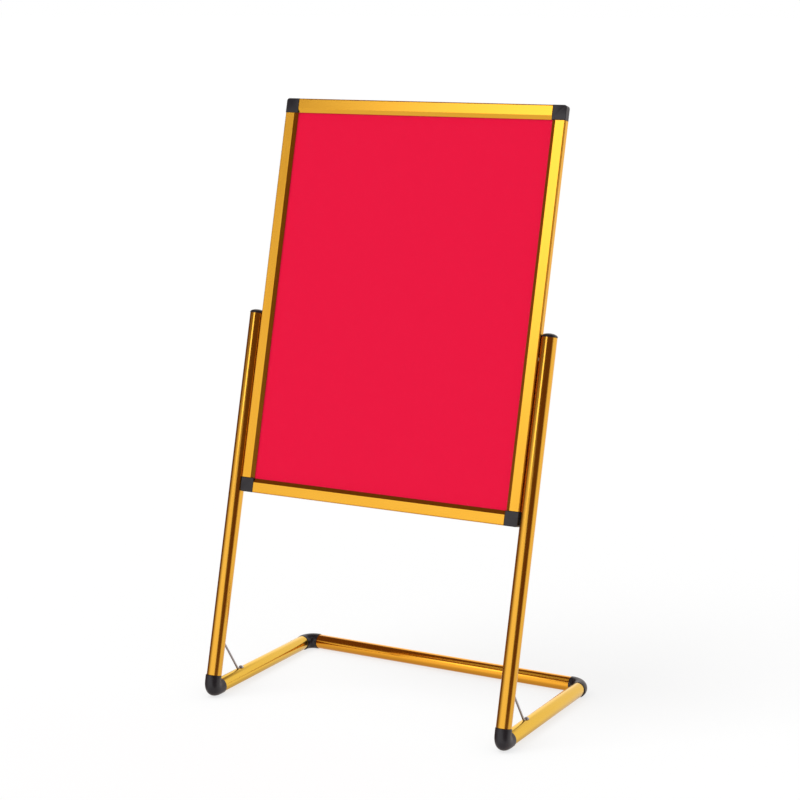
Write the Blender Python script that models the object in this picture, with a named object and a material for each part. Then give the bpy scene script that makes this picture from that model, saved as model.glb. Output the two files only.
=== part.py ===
# Floor standing sign stand. Two leaning posts on a tube base carry a poster
# frame, which tilts between them on two bolts and opens along all four sides.
# Metres, +Z up, +Y to the back, origin on the floor under the middle.

import bpy
import bmesh
from math import asin, cos, pi, radians, sin, sqrt, tan
from mathutils import Matrix, Vector

# Driving sizes of the whole stand
FRAME_WIDTH = 0.620
FRAME_HEIGHT = 0.798
FRAME_RAISE = 0.405        # foot corner to the frame's lower edge, along a post
BASE_DEPTH = 0.370         # front foot corner to rear foot corner
POST_LENGTH = 0.7655       # foot corner to the upper end of the tube
LEAN = radians(14.6)       # posts and frame lean back from upright

# Clearances
SEAT_GAP = 0.0003          # between pieces that touch
SHAFT_GAP = 0.0003         # round a bolt or a screw in its hole
SIDE_GAP = 0.0012          # between the frame and each post
CUT_OVERRUN = 0.004        # how far a cutter passes the face that it cuts

# Tubes, elbows and caps
TUBE_RADIUS = 0.015
TUBE_WALL = 0.0012
ELBOW_STEP = 0.0010        # how far an elbow stands out from its tubes
FRONT_ARM = 0.030          # foot corner to the end of a front elbow's collar
REAR_ARM = 0.027           # foot corner to the end of a rear elbow's collar
ELBOW_EDGE = 0.0008        # chamfer on the rim of a collar
FRONT_BEND_INSIDE = 0.0010 # inside radius of the tight front bend
FRONT_BEND_TOE = 0.0045    # how far its outside stands past a round bend
COLLAR_LENGTH = 0.0030     # straight end of the wide rear bend
FOOT_FLAT = 0.0007         # how deep the ground face cuts into an elbow
SPIGOT_LENGTH = 0.024
SPIGOT_LEAD = 0.0015       # taper at the tip of a spigot
CAP_STEP = 0.0005
CAP_RIM = 0.0006
CAP_DOME = 0.0068
CAP_PLUG_LENGTH = 0.016

# Stays between each post and its base tube
STAY_FOOT = 0.105          # foot corner to the lower screw
STAY_HEAD = 0.112          # foot corner to the upper screw, along the post
STAY_RADIUS = 0.00225
PAD_HALF_LENGTH = 0.0065
PAD_HALF_WIDTH = 0.0050
PAD_HALF_THICK = 0.0008
PAD_NECK = 0.0045          # where the flat pad swells into the round rod
SCREW_RADIUS = 0.0020
SCREW_LENGTH = 0.0090
SCREW_HEAD_RADIUS = 0.0038
SCREW_HEAD_HEIGHT = 0.0022

# Rail section, measured across from the frame's outer edge and back from its face
RAIL_WIDTH = 0.0283
RAIL_DEPTH = 0.0145
FACE_WIDTH = 0.0206        # flat of the face, outside the bevelled lip
LIP_DEPTH = 0.0040
LIP_FOOT = 0.0020
SKIN = 0.0014
CURL_RADIUS = 0.0024       # outside of the cover's hinge curl
CURL_WALL = 0.0010
BEAD_RADIUS = 0.00105
NECK_THICK = 0.0008
CATCH_ACROSS = 0.0088      # rib under the cover that the springs bear on
CATCH_LENGTH = 0.0014
FLOOR_DEPTH = 0.0054       # front of the base rail's floor, under the springs
STOP_ACROSS = 0.0186       # wall that the board and sheets butt against
STOP_DEPTH = 0.0034        # front of that wall, inside the closed cover
LEDGE_REACH = 0.0074       # ledge under the edge of the backing board
SLOT_START = 0.0060        # slot along the back of the base rail
SLOT_WIDTH = 0.0080
CURL_START = radians(-25)
CURL_END = radians(180)
NECK_ANGLE = radians(-55)

# Corner pieces
CORNER_SIZE = 0.029
CORNER_PROUD = 0.0005
CORNER_ROUND = 0.0055
CORNER_EDGE = 0.0012
TONGUE_LENGTH = 0.026

# Sheets in the frame, front to back
COVER_SHEET_THICK = 0.0008
SIGN_SHEET_THICK = 0.0006
BOARD_THICK = 0.0029

# Springs
SPRING_WIDTH = 0.016
SPRING_THICK = 0.0004
SPRING_FOOT = 0.0040
SPRING_RISE_END = 0.0128
SPRING_PLACE_SHARE = 0.25  # of the rail's length, to each side of its middle

# Tilt bolts
PIVOT_BELOW_TOP = 0.043
BOLT_RADIUS = 0.0015
BOLT_HEAD_RADIUS = 0.0027
BOLT_HEAD_HEIGHT = 0.0019
BOLT_HEAD_ROOM = 0.0004    # from the head to the floor of the rail's channel
BOLT_TIP_REACH = 0.0015    # past the insert
INSERT_RADIUS = 0.0028
INSERT_LENGTH = 0.0105
INSERT_COLLAR = 0.0030     # bulge that grips inside the tube wall
INSERT_COLLAR_RADIUS = 0.0040
WASHER_RADIUS = 0.0045

# Mesh fineness
TUBE_SIDES = 32
SMALL_SIDES = 16
BEND_STEPS = 8
DOME_STEPS = 5
ARC_STEPS = 5
SHARP_ANGLE = radians(32)

# Places that follow from the sizes
ELBOW_RADIUS = TUBE_RADIUS + ELBOW_STEP
CAP_RADIUS = TUBE_RADIUS + CAP_STEP
FRONT_BEND_RADIUS = ELBOW_RADIUS + FRONT_BEND_INSIDE
REAR_BEND_RADIUS = REAR_ARM - COLLAR_LENGTH
POST_X = FRAME_WIDTH / 2 + SIDE_GAP + TUBE_RADIUS
AXIS_Z = ELBOW_RADIUS - FOOT_FLAT
LEAN_UP = Vector((0, sin(LEAN), cos(LEAN)))
LEAN_BACK = Vector((0, cos(LEAN), -sin(LEAN)))
POST_ANGLE = pi / 2 - LEAN
FRONT_TANGENT = FRONT_BEND_RADIUS / tan(POST_ANGLE / 2)
FRONT_TURNS = [(pi - POST_ANGLE) * step / BEND_STEPS for step in range(BEND_STEPS + 1)]
FRONT_REACH = max((FRONT_BEND_RADIUS + ELBOW_RADIUS + FRONT_BEND_TOE * sin(pi * turn / (pi - POST_ANGLE)) ** 2)
                  * cos(turn - LEAN) for turn in FRONT_TURNS) - FRONT_TANGENT
FRONT_Y = (FRONT_REACH - ELBOW_RADIUS - BASE_DEPTH) / 2
REAR_Y = FRONT_Y + BASE_DEPTH
FRONT_START = FRONT_ARM + SEAT_GAP
REAR_START = REAR_ARM + SEAT_GAP
SPIGOT_RADIUS = TUBE_RADIUS - TUBE_WALL - SEAT_GAP
CHAMBER_FRONT = FLOOR_DEPTH + SKIN
CHAMBER_BACK = RAIL_DEPTH - SKIN
BOLT_DEPTH = CHAMBER_FRONT + BOLT_HEAD_ROOM + BOLT_HEAD_RADIUS
PIVOT_ALONG = POST_LENGTH - PIVOT_BELOW_TOP
STACK_INSET = STOP_ACROSS + SEAT_GAP
COVER_SHEET_FRONT = LIP_DEPTH + SEAT_GAP
SIGN_SHEET_FRONT = COVER_SHEET_FRONT + COVER_SHEET_THICK + SEAT_GAP
BOARD_FRONT = SIGN_SHEET_FRONT + SIGN_SHEET_THICK + SEAT_GAP
LEDGE_DEPTH = BOARD_FRONT + BOARD_THICK + SEAT_GAP


def clear_scene():
    for thing in list(bpy.data.objects):
        bpy.data.objects.remove(thing, do_unlink=True)


def make_material(name, colour, roughness, metallic, alpha=1.0):
    material = bpy.data.materials.new(name)
    material.use_nodes = True
    shader = material.node_tree.nodes["Principled BSDF"]
    shader.inputs["Base Color"].default_value = (*colour, 1.0)
    shader.inputs["Roughness"].default_value = roughness
    shader.inputs["Metallic"].default_value = metallic
    shader.inputs["Alpha"].default_value = alpha
    material.diffuse_color = (*colour, alpha)
    return material


def add_empty(name, parent, matrix):
    empty = bpy.data.objects.new(name, None)
    empty.parent = parent
    empty.matrix_basis = matrix
    bpy.context.collection.objects.link(empty)
    return empty


def add_object(name, bm, material, parent=None, matrix=Matrix()):
    bmesh.ops.recalc_face_normals(bm, faces=bm.faces)
    mesh = bpy.data.meshes.new(name)
    bm.to_mesh(mesh)
    bm.free()
    mesh.shade_smooth()
    mesh.set_sharp_from_angle(angle=SHARP_ANGLE)
    if material:
        mesh.materials.append(material)
    thing = bpy.data.objects.new(name, mesh)
    thing.parent = parent
    thing.matrix_basis = matrix
    bpy.context.collection.objects.link(thing)
    return thing


def add_boolean(thing, tool, operation="DIFFERENCE"):
    tool.hide_render = True
    tool.display_type = "WIRE"
    modifier = thing.modifiers.new(operation.title(), "BOOLEAN")
    modifier.operation = operation
    modifier.object = tool


def station(place, travel, side, half_width, half_height):
    # A unit ring set square to its travel, half_width along side
    rise = travel.cross(side)
    columns = (side * half_width, rise * half_height, travel, place)
    matrix = Matrix.Identity(4)
    for index, column in enumerate(columns):
        matrix.col[index][:3] = column
    return matrix


def ring(place, travel, side, radius):
    return station(place, travel, side, radius, radius)


def loft(stations, sides):
    # Carries a filled ring along the stations and leaves its skin behind
    bm = bmesh.new()
    bmesh.ops.create_circle(bm, cap_ends=True, segments=sides, radius=1, matrix=stations[0])
    face = bm.faces[:][0]
    for here, there in zip(stations, stations[1:]):
        grown = bmesh.ops.extrude_face_region(bm, geom=[face, *face.edges, *face.verts])["geom"]
        face = next(item for item in grown if isinstance(item, bmesh.types.BMFace))
        bmesh.ops.transform(bm, matrix=there @ here.inverted(), verts=face.verts[:])
    return bm


def turned(steps, sides):
    # A solid of revolution about Z from (radius, height) steps
    return loft([ring(Vector((0, 0, height)), Vector((0, 0, 1)), Vector((1, 0, 0)), radius)
                 for radius, height in steps], sides)


def box(low, high):
    low, high = Vector(low), Vector(high)
    bm = bmesh.new()
    bmesh.ops.create_cube(bm, size=1)
    size = high - low
    bmesh.ops.scale(bm, vec=size, verts=bm.verts)
    bmesh.ops.translate(bm, vec=(low + high) / 2, verts=bm.verts)
    return bm


def aim(place, direction):
    # Places a piece with its Z axis along the direction
    return Matrix.Translation(place) @ Vector(direction).to_track_quat("Z", "Y").to_matrix().to_4x4()


def drill(thing, place, direction, radius, length, parent=None):
    bm = turned([(radius, 0), (radius, length)], SMALL_SIDES)
    cutter = add_object(thing.name + "_drill", bm, None, parent, aim(place, direction))
    add_boolean(thing, cutter)


def arc(centre, radius, start, end, steps):
    # Angles run from inwards, through forwards, to outwards
    points = []
    for step in range(steps + 1):
        angle = start + (end - start) * step / steps
        points.append((centre[0] + radius * cos(angle), centre[1] - radius * sin(angle)))
    return points


def extrude_section(points, length):
    # A closed outline of (across, depth) points run along X about its middle
    bm = bmesh.new()
    rim = [bm.verts.new((-length / 2, depth, across)) for across, depth in points]
    face = bm.faces.new(rim)
    grown = bmesh.ops.extrude_face_region(bm, geom=[face])["geom"]
    moved = [item for item in grown if isinstance(item, bmesh.types.BMVert)]
    bmesh.ops.translate(bm, vec=(length, 0, 0), verts=moved)
    return bm


def foot_corner(side, y):
    return Vector((side * POST_X, y, AXIS_Z))


def make_tube(name, start, end, material):
    direction = end - start
    bm = bmesh.new()
    bmesh.ops.create_cone(bm, cap_ends=False, segments=TUBE_SIDES, radius1=TUBE_RADIUS,
                          radius2=TUBE_RADIUS, depth=direction.length)
    bmesh.ops.translate(bm, vec=(0, 0, direction.length / 2), verts=bm.verts)
    tube = add_object(name, bm, material, matrix=aim(start, direction))
    wall = tube.modifiers.new("Wall", "SOLIDIFY")
    wall.thickness = TUBE_WALL
    wall.offset = -1
    wall.use_even_offset = True
    return tube


def make_elbow(name, corner, first, second, bend_radius, toe, reach, material):
    # A moulded bend from one arm to the other, with a spigot on each end. Its
    # outside stands out by the toe in the middle of the bend
    half = first.angle(second) / 2
    tangent = bend_radius / tan(half)
    turn = pi - 2 * half
    axis = second.cross(first).normalized()
    side = axis
    centre = corner + (first + second).normalized() * bend_radius / sin(half)
    end_steps = [
        (SPIGOT_RADIUS - SPIGOT_LEAD, reach + SPIGOT_LENGTH),
        (SPIGOT_RADIUS, reach + SPIGOT_LENGTH - SPIGOT_LEAD),
        (SPIGOT_RADIUS, reach),
        (ELBOW_RADIUS - ELBOW_EDGE, reach),
        (ELBOW_RADIUS, reach - ELBOW_EDGE),
        (ELBOW_RADIUS, tangent),
    ]
    stations = [ring(corner + first * along, -first, side, radius) for radius, along in end_steps]
    for step in range(1, BEND_STEPS):
        turning = Matrix.Rotation(turn * step / BEND_STEPS, 3, axis)
        spoke = turning @ (corner + first * tangent - centre)
        swell = toe / 2 * sin(pi * step / BEND_STEPS) ** 2
        stations.append(station(centre + spoke + spoke.normalized() * swell, turning @ -first, side,
                                ELBOW_RADIUS, ELBOW_RADIUS + swell))
    for radius, along in reversed(end_steps):
        stations.append(ring(corner + second * along, second, side, radius))
    elbow = add_object(name, loft(stations, TUBE_SIDES), material)
    return elbow


def make_base(gold, black):
    # Four elbows, two side tubes, a rear cross tube and the two posts
    back = Vector((0, 1, 0))
    ground_low = (-POST_X - ELBOW_RADIUS - CUT_OVERRUN, FRONT_Y - ELBOW_RADIUS - CUT_OVERRUN,
                  -FOOT_FLAT - CUT_OVERRUN)
    ground_high = (POST_X + ELBOW_RADIUS + CUT_OVERRUN, REAR_Y + ELBOW_RADIUS + CUT_OVERRUN, 0)
    ground = add_object("ground_cutter", box(ground_low, ground_high), None)
    posts = {}
    tubes = {}
    for word, side in (("left", -1), ("right", 1)):
        front, rear = foot_corner(side, FRONT_Y), foot_corner(side, REAR_Y)
        inward = Vector((-side, 0, 0))
        elbows = [
            make_elbow(word + "_front_elbow", front, LEAN_UP, back, FRONT_BEND_RADIUS,
                       FRONT_BEND_TOE, FRONT_ARM, black),
            make_elbow(word + "_rear_elbow", rear, -back, inward, REAR_BEND_RADIUS,
                       0, REAR_ARM, black),
        ]
        for elbow in elbows:
            add_boolean(elbow, ground)
        tubes[word] = make_tube(word + "_base_tube", front + back * FRONT_START,
                                rear - back * REAR_START, gold)
        posts[word] = make_tube(word + "_post", front + LEAN_UP * FRONT_START,
                                front + LEAN_UP * POST_LENGTH, gold)
        make_cap(word + "_post_cap", front + LEAN_UP * POST_LENGTH, black)
    offset = Vector((REAR_START, 0, 0))
    make_tube("rear_cross_tube", foot_corner(-1, REAR_Y) + offset,
              foot_corner(1, REAR_Y) - offset, gold)
    return posts, tubes


def make_cap(name, top, material):
    # A low dome on a rim, with a plug down the tube
    steps = [
        (SPIGOT_RADIUS - SPIGOT_LEAD, -CAP_PLUG_LENGTH),
        (SPIGOT_RADIUS, SPIGOT_LEAD - CAP_PLUG_LENGTH),
        (SPIGOT_RADIUS, SEAT_GAP),
        (CAP_RADIUS, SEAT_GAP),
        (CAP_RADIUS, SEAT_GAP + CAP_RIM),
    ]
    for step in range(1, DOME_STEPS):
        angle = pi / 2 * step / DOME_STEPS
        steps.append((CAP_RADIUS * cos(angle), SEAT_GAP + CAP_RIM + CAP_DOME * sin(angle)))
    add_object(name, turned(steps, TUBE_SIDES), material, matrix=aim(top, LEAN_UP))


def make_screw(name, seat, outward, shank, head, material, parent=None):
    # A pan head screw whose head sits on the seat and whose shank goes in
    shank_radius, length = shank
    head_radius, height = head
    steps = [(shank_radius, -length), (shank_radius, 0), (head_radius, 0), (head_radius, height / 2)]
    for step in range(1, DOME_STEPS - 1):
        angle = pi / 2 * step / DOME_STEPS
        steps.append((head_radius * cos(angle), height * (1 + sin(angle)) / 2))
    return add_object(name, turned(steps, SMALL_SIDES), material, parent, aim(seat, outward))


def make_stays(posts, tubes, steel):
    # A round rod with a flattened pad at each end, screwed to post and base tube
    up = Vector((0, 0, 1))
    back = Vector((0, 1, 0))
    lift = TUBE_RADIUS + SEAT_GAP + PAD_HALF_THICK
    hole = SCREW_RADIUS + SHAFT_GAP
    for word, side in (("left", -1), ("right", 1)):
        corner = foot_corner(side, FRONT_Y)
        foot = corner + back * STAY_FOOT + up * lift
        head = corner + LEAN_UP * STAY_HEAD + LEAN_BACK * lift
        x_axis = Vector((1, 0, 0))
        low_bend = foot - back * (PAD_HALF_LENGTH + PAD_NECK)
        high_bend = head - LEAN_UP * (PAD_HALF_LENGTH + PAD_NECK)
        rod = (high_bend - low_bend).normalized()
        stations = []
        for place, travel, width, thick in (
                (foot + back * PAD_HALF_LENGTH, -back, PAD_HALF_WIDTH / 2, PAD_HALF_THICK),
                (foot + back * PAD_HALF_LENGTH / 2, -back, PAD_HALF_WIDTH, PAD_HALF_THICK),
                (foot - back * PAD_HALF_LENGTH / 2, -back, PAD_HALF_WIDTH, PAD_HALF_THICK),
                (foot - back * PAD_HALF_LENGTH, -back, PAD_HALF_WIDTH / 2, PAD_HALF_THICK),
                (low_bend, (rod - back).normalized(), STAY_RADIUS, PAD_HALF_THICK),
                (low_bend + rod * PAD_NECK, rod, STAY_RADIUS, STAY_RADIUS),
                (high_bend - rod * PAD_NECK, rod, STAY_RADIUS, STAY_RADIUS),
                (high_bend, (rod + LEAN_UP).normalized(), STAY_RADIUS, PAD_HALF_THICK),
                (head - LEAN_UP * PAD_HALF_LENGTH, LEAN_UP, PAD_HALF_WIDTH / 2, PAD_HALF_THICK),
                (head - LEAN_UP * PAD_HALF_LENGTH / 2, LEAN_UP, PAD_HALF_WIDTH, PAD_HALF_THICK),
                (head + LEAN_UP * PAD_HALF_LENGTH / 2, LEAN_UP, PAD_HALF_WIDTH, PAD_HALF_THICK),
                (head + LEAN_UP * PAD_HALF_LENGTH, LEAN_UP, PAD_HALF_WIDTH / 2, PAD_HALF_THICK)):
            stations.append(station(place, travel, x_axis, width, thick))
        stay = add_object(word + "_stay", loft(stations, SMALL_SIDES), steel)
        for end, centre, outward, tube in (("lower", foot, up, tubes[word]),
                                           ("upper", head, LEAN_BACK, posts[word])):
            seat = centre + outward * (PAD_HALF_THICK + SEAT_GAP)
            make_screw(word + "_stay_" + end + "_screw", seat, outward,
                       (SCREW_RADIUS, SCREW_LENGTH), (SCREW_HEAD_RADIUS, SCREW_HEAD_HEIGHT), steel)
            tip = seat - outward * (SCREW_LENGTH + CUT_OVERRUN)
            drill(stay, tip, outward, hole, SCREW_LENGTH + CUT_OVERRUN * 2)
            drill(tube, tip, outward, hole, SCREW_LENGTH + CUT_OVERRUN * 2)


def base_section():
    # The fixed rail: outer wall, hinge bead on its neck, floor, ledge, slotted back
    hinge = (CURL_RADIUS, CURL_RADIUS)
    sweep = CURL_RADIUS + SEAT_GAP
    wall_top = CURL_RADIUS + sqrt(sweep ** 2 - (CURL_RADIUS - SKIN) ** 2)
    edge_top = CURL_RADIUS + sqrt(sweep ** 2 - CURL_RADIUS ** 2)
    opening = asin(NECK_THICK / 2 / BEAD_RADIUS)
    bead = arc(hinge, BEAD_RADIUS, NECK_ANGLE + 2 * pi - opening, NECK_ANGLE + opening, 2 * ARC_STEPS)
    run = (FLOOR_DEPTH - CURL_RADIUS) / tan(-NECK_ANGLE)
    half_foot = NECK_THICK / 2 / sin(-NECK_ANGLE)
    return [
        (0, RAIL_DEPTH),
        (0, edge_top),
        (SKIN, wall_top),
        (SKIN, FLOOR_DEPTH),
        (CURL_RADIUS + run - half_foot, FLOOR_DEPTH),
        *bead,
        (CURL_RADIUS + run + half_foot, FLOOR_DEPTH),
        (STOP_ACROSS - SKIN, FLOOR_DEPTH),
        (STOP_ACROSS - SKIN, STOP_DEPTH),
        (STOP_ACROSS, STOP_DEPTH),
        (STOP_ACROSS, LEDGE_DEPTH),
        (STOP_ACROSS + LEDGE_REACH, LEDGE_DEPTH),
        (STOP_ACROSS + LEDGE_REACH, LEDGE_DEPTH + SKIN),
        (STOP_ACROSS, LEDGE_DEPTH + SKIN),
        (STOP_ACROSS, RAIL_DEPTH),
        (SLOT_START + SLOT_WIDTH, RAIL_DEPTH),
        (SLOT_START + SLOT_WIDTH, CHAMBER_BACK),
        (STOP_ACROSS - SKIN, CHAMBER_BACK),
        (STOP_ACROSS - SKIN, CHAMBER_FRONT),
        (SKIN, CHAMBER_FRONT),
        (SKIN, CHAMBER_BACK),
        (SLOT_START, CHAMBER_BACK),
        (SLOT_START, RAIL_DEPTH),
    ]


def cover_section():
    # The opening rail: hinge curl, flat face, bevelled lip, rib for the springs
    hinge = (CURL_RADIUS, CURL_RADIUS)
    bore = CURL_RADIUS - CURL_WALL
    meet = asin((CURL_RADIUS - SKIN) / CURL_RADIUS)
    bevel_run = (RAIL_WIDTH - FACE_WIDTH) / LIP_DEPTH
    under_edge = RAIL_WIDTH - LIP_FOOT - bevel_run * (LIP_DEPTH - SKIN)
    points = [
        *arc(hinge, CURL_RADIUS, CURL_END, pi / 2, ARC_STEPS),
        (FACE_WIDTH, 0),
        (RAIL_WIDTH, LIP_DEPTH),
        (RAIL_WIDTH - LIP_FOOT, LIP_DEPTH),
        (under_edge, SKIN),
        (CATCH_ACROSS + SKIN, SKIN),
        (CATCH_ACROSS + SKIN, SKIN + CATCH_LENGTH),
        (CATCH_ACROSS, SKIN + CATCH_LENGTH),
        (CATCH_ACROSS, SKIN),
        *arc(hinge, CURL_RADIUS, meet, CURL_START, ARC_STEPS),
        *arc(hinge, bore, CURL_START, CURL_END, 2 * ARC_STEPS),
    ]
    return [(across - CURL_RADIUS, depth - CURL_RADIUS) for across, depth in points]


def spring_section():
    # A leaf on the floor that rises in an S to bear under the cover's rib
    low = FLOOR_DEPTH - SEAT_GAP
    tip = SKIN + CATCH_LENGTH + SEAT_GAP + SPRING_THICK
    end = CATCH_ACROSS + SKIN / 2
    under, over = [(SPRING_RISE_END + SPRING_FOOT, low)], []
    for step in range(2 * ARC_STEPS + 1):
        share = step / (2 * ARC_STEPS)
        across = SPRING_RISE_END + (end - SPRING_RISE_END) * share
        depth = low + (tip - low) * (1 - cos(pi * share)) / 2
        under.append((across, depth))
        over.append((across, depth - SPRING_THICK))
    over.insert(0, (SPRING_RISE_END + SPRING_FOOT, low - SPRING_THICK))
    return under + over[::-1]


def make_corner(name, parent, matrix, material):
    # A moulded block with a rounded outer corner and a tongue into each rail
    far = CORNER_SIZE
    centre = (CORNER_ROUND, CORNER_ROUND)
    outline = arc(centre, CORNER_ROUND, pi, pi / 2, ARC_STEPS)
    bm = bmesh.new()
    rim = [bm.verts.new((across, -CORNER_PROUD, depth)) for across, depth in outline]
    rim += [bm.verts.new((far, -CORNER_PROUD, 0)), bm.verts.new((far, -CORNER_PROUD, far)),
            bm.verts.new((0, -CORNER_PROUD, far))]
    face = bm.faces.new(rim)
    grown = bmesh.ops.extrude_face_region(bm, geom=[face])["geom"]
    moved = [item for item in grown if isinstance(item, bmesh.types.BMVert)]
    bmesh.ops.translate(bm, vec=(0, CORNER_PROUD + RAIL_DEPTH, 0), verts=moved)
    front = [edge for edge in bm.edges if all(vert.co.y < 0 for vert in edge.verts)]
    bmesh.ops.bevel(bm, geom=front, offset=CORNER_EDGE, segments=2, profile=0.5, affect="EDGES")
    corner = add_object(name, bm, material, parent, matrix)

    low, high = SKIN + SEAT_GAP, STOP_ACROSS - SKIN - SEAT_GAP
    near, back = CHAMBER_FRONT + SEAT_GAP, CHAMBER_BACK - SEAT_GAP
    tip = CORNER_SIZE + TONGUE_LENGTH
    for label, first, last in (("_tongue_along", (low, near, low), (tip, back, high)),
                               ("_tongue_up", (low, near, low), (high, back, tip))):
        tongue = add_object(name + label, box(first, last), material, parent, matrix)
        add_boolean(corner, tongue, "UNION")
    pocket = add_object(name + "_pocket", box((STOP_ACROSS, LIP_DEPTH, STOP_ACROSS),
                                              (far + CUT_OVERRUN, LEDGE_DEPTH, far + CUT_OVERRUN)),
                        None, parent, matrix)
    add_boolean(corner, pocket)
    return corner


def make_frame(pivot, gold, black, steel):
    # Four fixed rails, four opening covers, eight springs and four corners
    centre = Matrix.Translation((0, -BOLT_DEPTH, FRAME_RAISE + FRAME_HEIGHT / 2 - PIVOT_ALONG))
    sides = {
        "bottom": (0, FRAME_WIDTH, FRAME_HEIGHT),
        "right": (-pi / 2, FRAME_HEIGHT, FRAME_WIDTH),
        "top": (pi, FRAME_WIDTH, FRAME_HEIGHT),
        "left": (pi / 2, FRAME_HEIGHT, FRAME_WIDTH),
    }
    corners = {"bottom": "lower_left", "right": "lower_right", "top": "upper_right",
               "left": "upper_left"}
    rails = {}
    for word, (angle, length, breadth) in sides.items():
        turn = centre @ Matrix.Rotation(angle, 4, "Y")
        edge = turn @ Matrix.Translation((0, 0, -breadth / 2))
        run = length - 2 * (CORNER_SIZE + SEAT_GAP)
        rails[word] = add_object(word + "_rail", extrude_section(base_section(), run), gold,
                                 pivot, edge)
        axis = edge @ Matrix.Translation((0, CURL_RADIUS, CURL_RADIUS))
        add_object(word + "_cover", extrude_section(cover_section(), run), gold, pivot, axis)
        for number, way in ((1, -1), (2, 1)):
            shift = Matrix.Translation((way * run * SPRING_PLACE_SHARE, 0, 0))
            leaf = extrude_section(spring_section(), SPRING_WIDTH)
            add_object(word + "_spring_" + str(number), leaf, steel, pivot, edge @ shift)
        place = edge @ Matrix.Translation((-length / 2, 0, 0))
        make_corner(corners[word] + "_corner", pivot, place, black)
    return rails


def make_sheets(pivot, clear, red, grey):
    middle = FRAME_RAISE + FRAME_HEIGHT / 2 - PIVOT_ALONG
    half_width = FRAME_WIDTH / 2 - STACK_INSET
    half_height = FRAME_HEIGHT / 2 - STACK_INSET
    for name, front, thick, material in (
            ("clear_sheet", COVER_SHEET_FRONT, COVER_SHEET_THICK, clear),
            ("sign_sheet", SIGN_SHEET_FRONT, SIGN_SHEET_THICK, red),
            ("backing_board", BOARD_FRONT, BOARD_THICK, grey)):
        near = front - BOLT_DEPTH
        bm = box((-half_width, near, middle - half_height),
                 (half_width, near + thick, middle + half_height))
        add_object(name, bm, material, pivot)


def make_tilt_bolts(pivot, posts, rails, steel, nylon):
    # A bolt from inside each side rail, through a washer, into an insert in the post
    wall = FRAME_WIDTH / 2
    hole = BOLT_RADIUS + SHAFT_GAP
    reach = SKIN + SEAT_GAP + SIDE_GAP + INSERT_LENGTH + BOLT_TIP_REACH
    shoulder = TUBE_WALL + TUBE_RADIUS - sqrt(TUBE_RADIUS ** 2 - INSERT_COLLAR_RADIUS ** 2) + SEAT_GAP
    for word, side in (("left", -1), ("right", 1)):
        outward = Vector((side, 0, 0))
        face = outward * wall
        inner = outward * (wall + SIDE_GAP)
        seat = outward * (wall - SKIN - SEAT_GAP)
        make_screw(word + "_tilt_bolt", seat, -outward, (BOLT_RADIUS, reach),
                   (BOLT_HEAD_RADIUS, BOLT_HEAD_HEIGHT), steel, pivot)
        drill(rails[word], seat - outward * CUT_OVERRUN, outward, hole,
              SKIN + 2 * CUT_OVERRUN, pivot)

        disc = turned([(WASHER_RADIUS, SEAT_GAP), (WASHER_RADIUS, SIDE_GAP - SEAT_GAP)], SMALL_SIDES)
        washer = add_object(word + "_tilt_washer", disc, nylon, pivot, aim(face, outward))
        drill(washer, face - outward * CUT_OVERRUN, outward, hole, 2 * CUT_OVERRUN, pivot)

        steps = [(INSERT_RADIUS, 0), (INSERT_RADIUS, shoulder), (INSERT_COLLAR_RADIUS, shoulder),
                 (INSERT_COLLAR_RADIUS, shoulder + INSERT_COLLAR), (INSERT_RADIUS, shoulder + INSERT_COLLAR),
                 (INSERT_RADIUS, INSERT_LENGTH)]
        insert = add_object(word + "_post_insert", turned(steps, SMALL_SIDES), steel, pivot,
                            aim(inner, outward))
        drill(insert, inner - outward * CUT_OVERRUN, outward, hole,
              INSERT_LENGTH + 2 * CUT_OVERRUN, pivot)
        drill(posts[word], inner - outward * CUT_OVERRUN, outward, INSERT_RADIUS + SHAFT_GAP,
              TUBE_RADIUS + CUT_OVERRUN, pivot)


def main():
    clear_scene()
    gold = make_material("gold_anodised_aluminium", (0.83, 0.50, 0.10), 0.28, 1.0)
    black = make_material("black_plastic", (0.035, 0.035, 0.040), 0.45, 0.0)
    steel = make_material("zinc_steel", (0.55, 0.55, 0.57), 0.35, 1.0)
    red = make_material("red_sign_sheet", (0.82, 0.012, 0.055), 0.55, 0.0)
    clear = make_material("clear_sheet", (0.95, 0.97, 0.98), 0.10, 0.0, 0.15)
    grey = make_material("backing_board", (0.62, 0.62, 0.60), 0.60, 0.0)
    nylon = make_material("nylon", (0.80, 0.79, 0.74), 0.50, 0.0)

    posts, tubes = make_base(gold, black)
    make_stays(posts, tubes, steel)
    place = foot_corner(0, FRONT_Y) + LEAN_UP * PIVOT_ALONG
    pivot = add_empty("frame_pivot", None,
                      Matrix.Translation(place) @ Matrix.Rotation(-LEAN, 4, "X"))
    rails = make_frame(pivot, gold, black, steel)
    make_sheets(pivot, clear, red, grey)
    make_tilt_bolts(pivot, posts, rails, steel, nylon)


main()
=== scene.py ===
import bpy
import bmesh
from math import asin, cos, pi, radians, sin, sqrt, tan
from mathutils import Matrix, Vector


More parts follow.
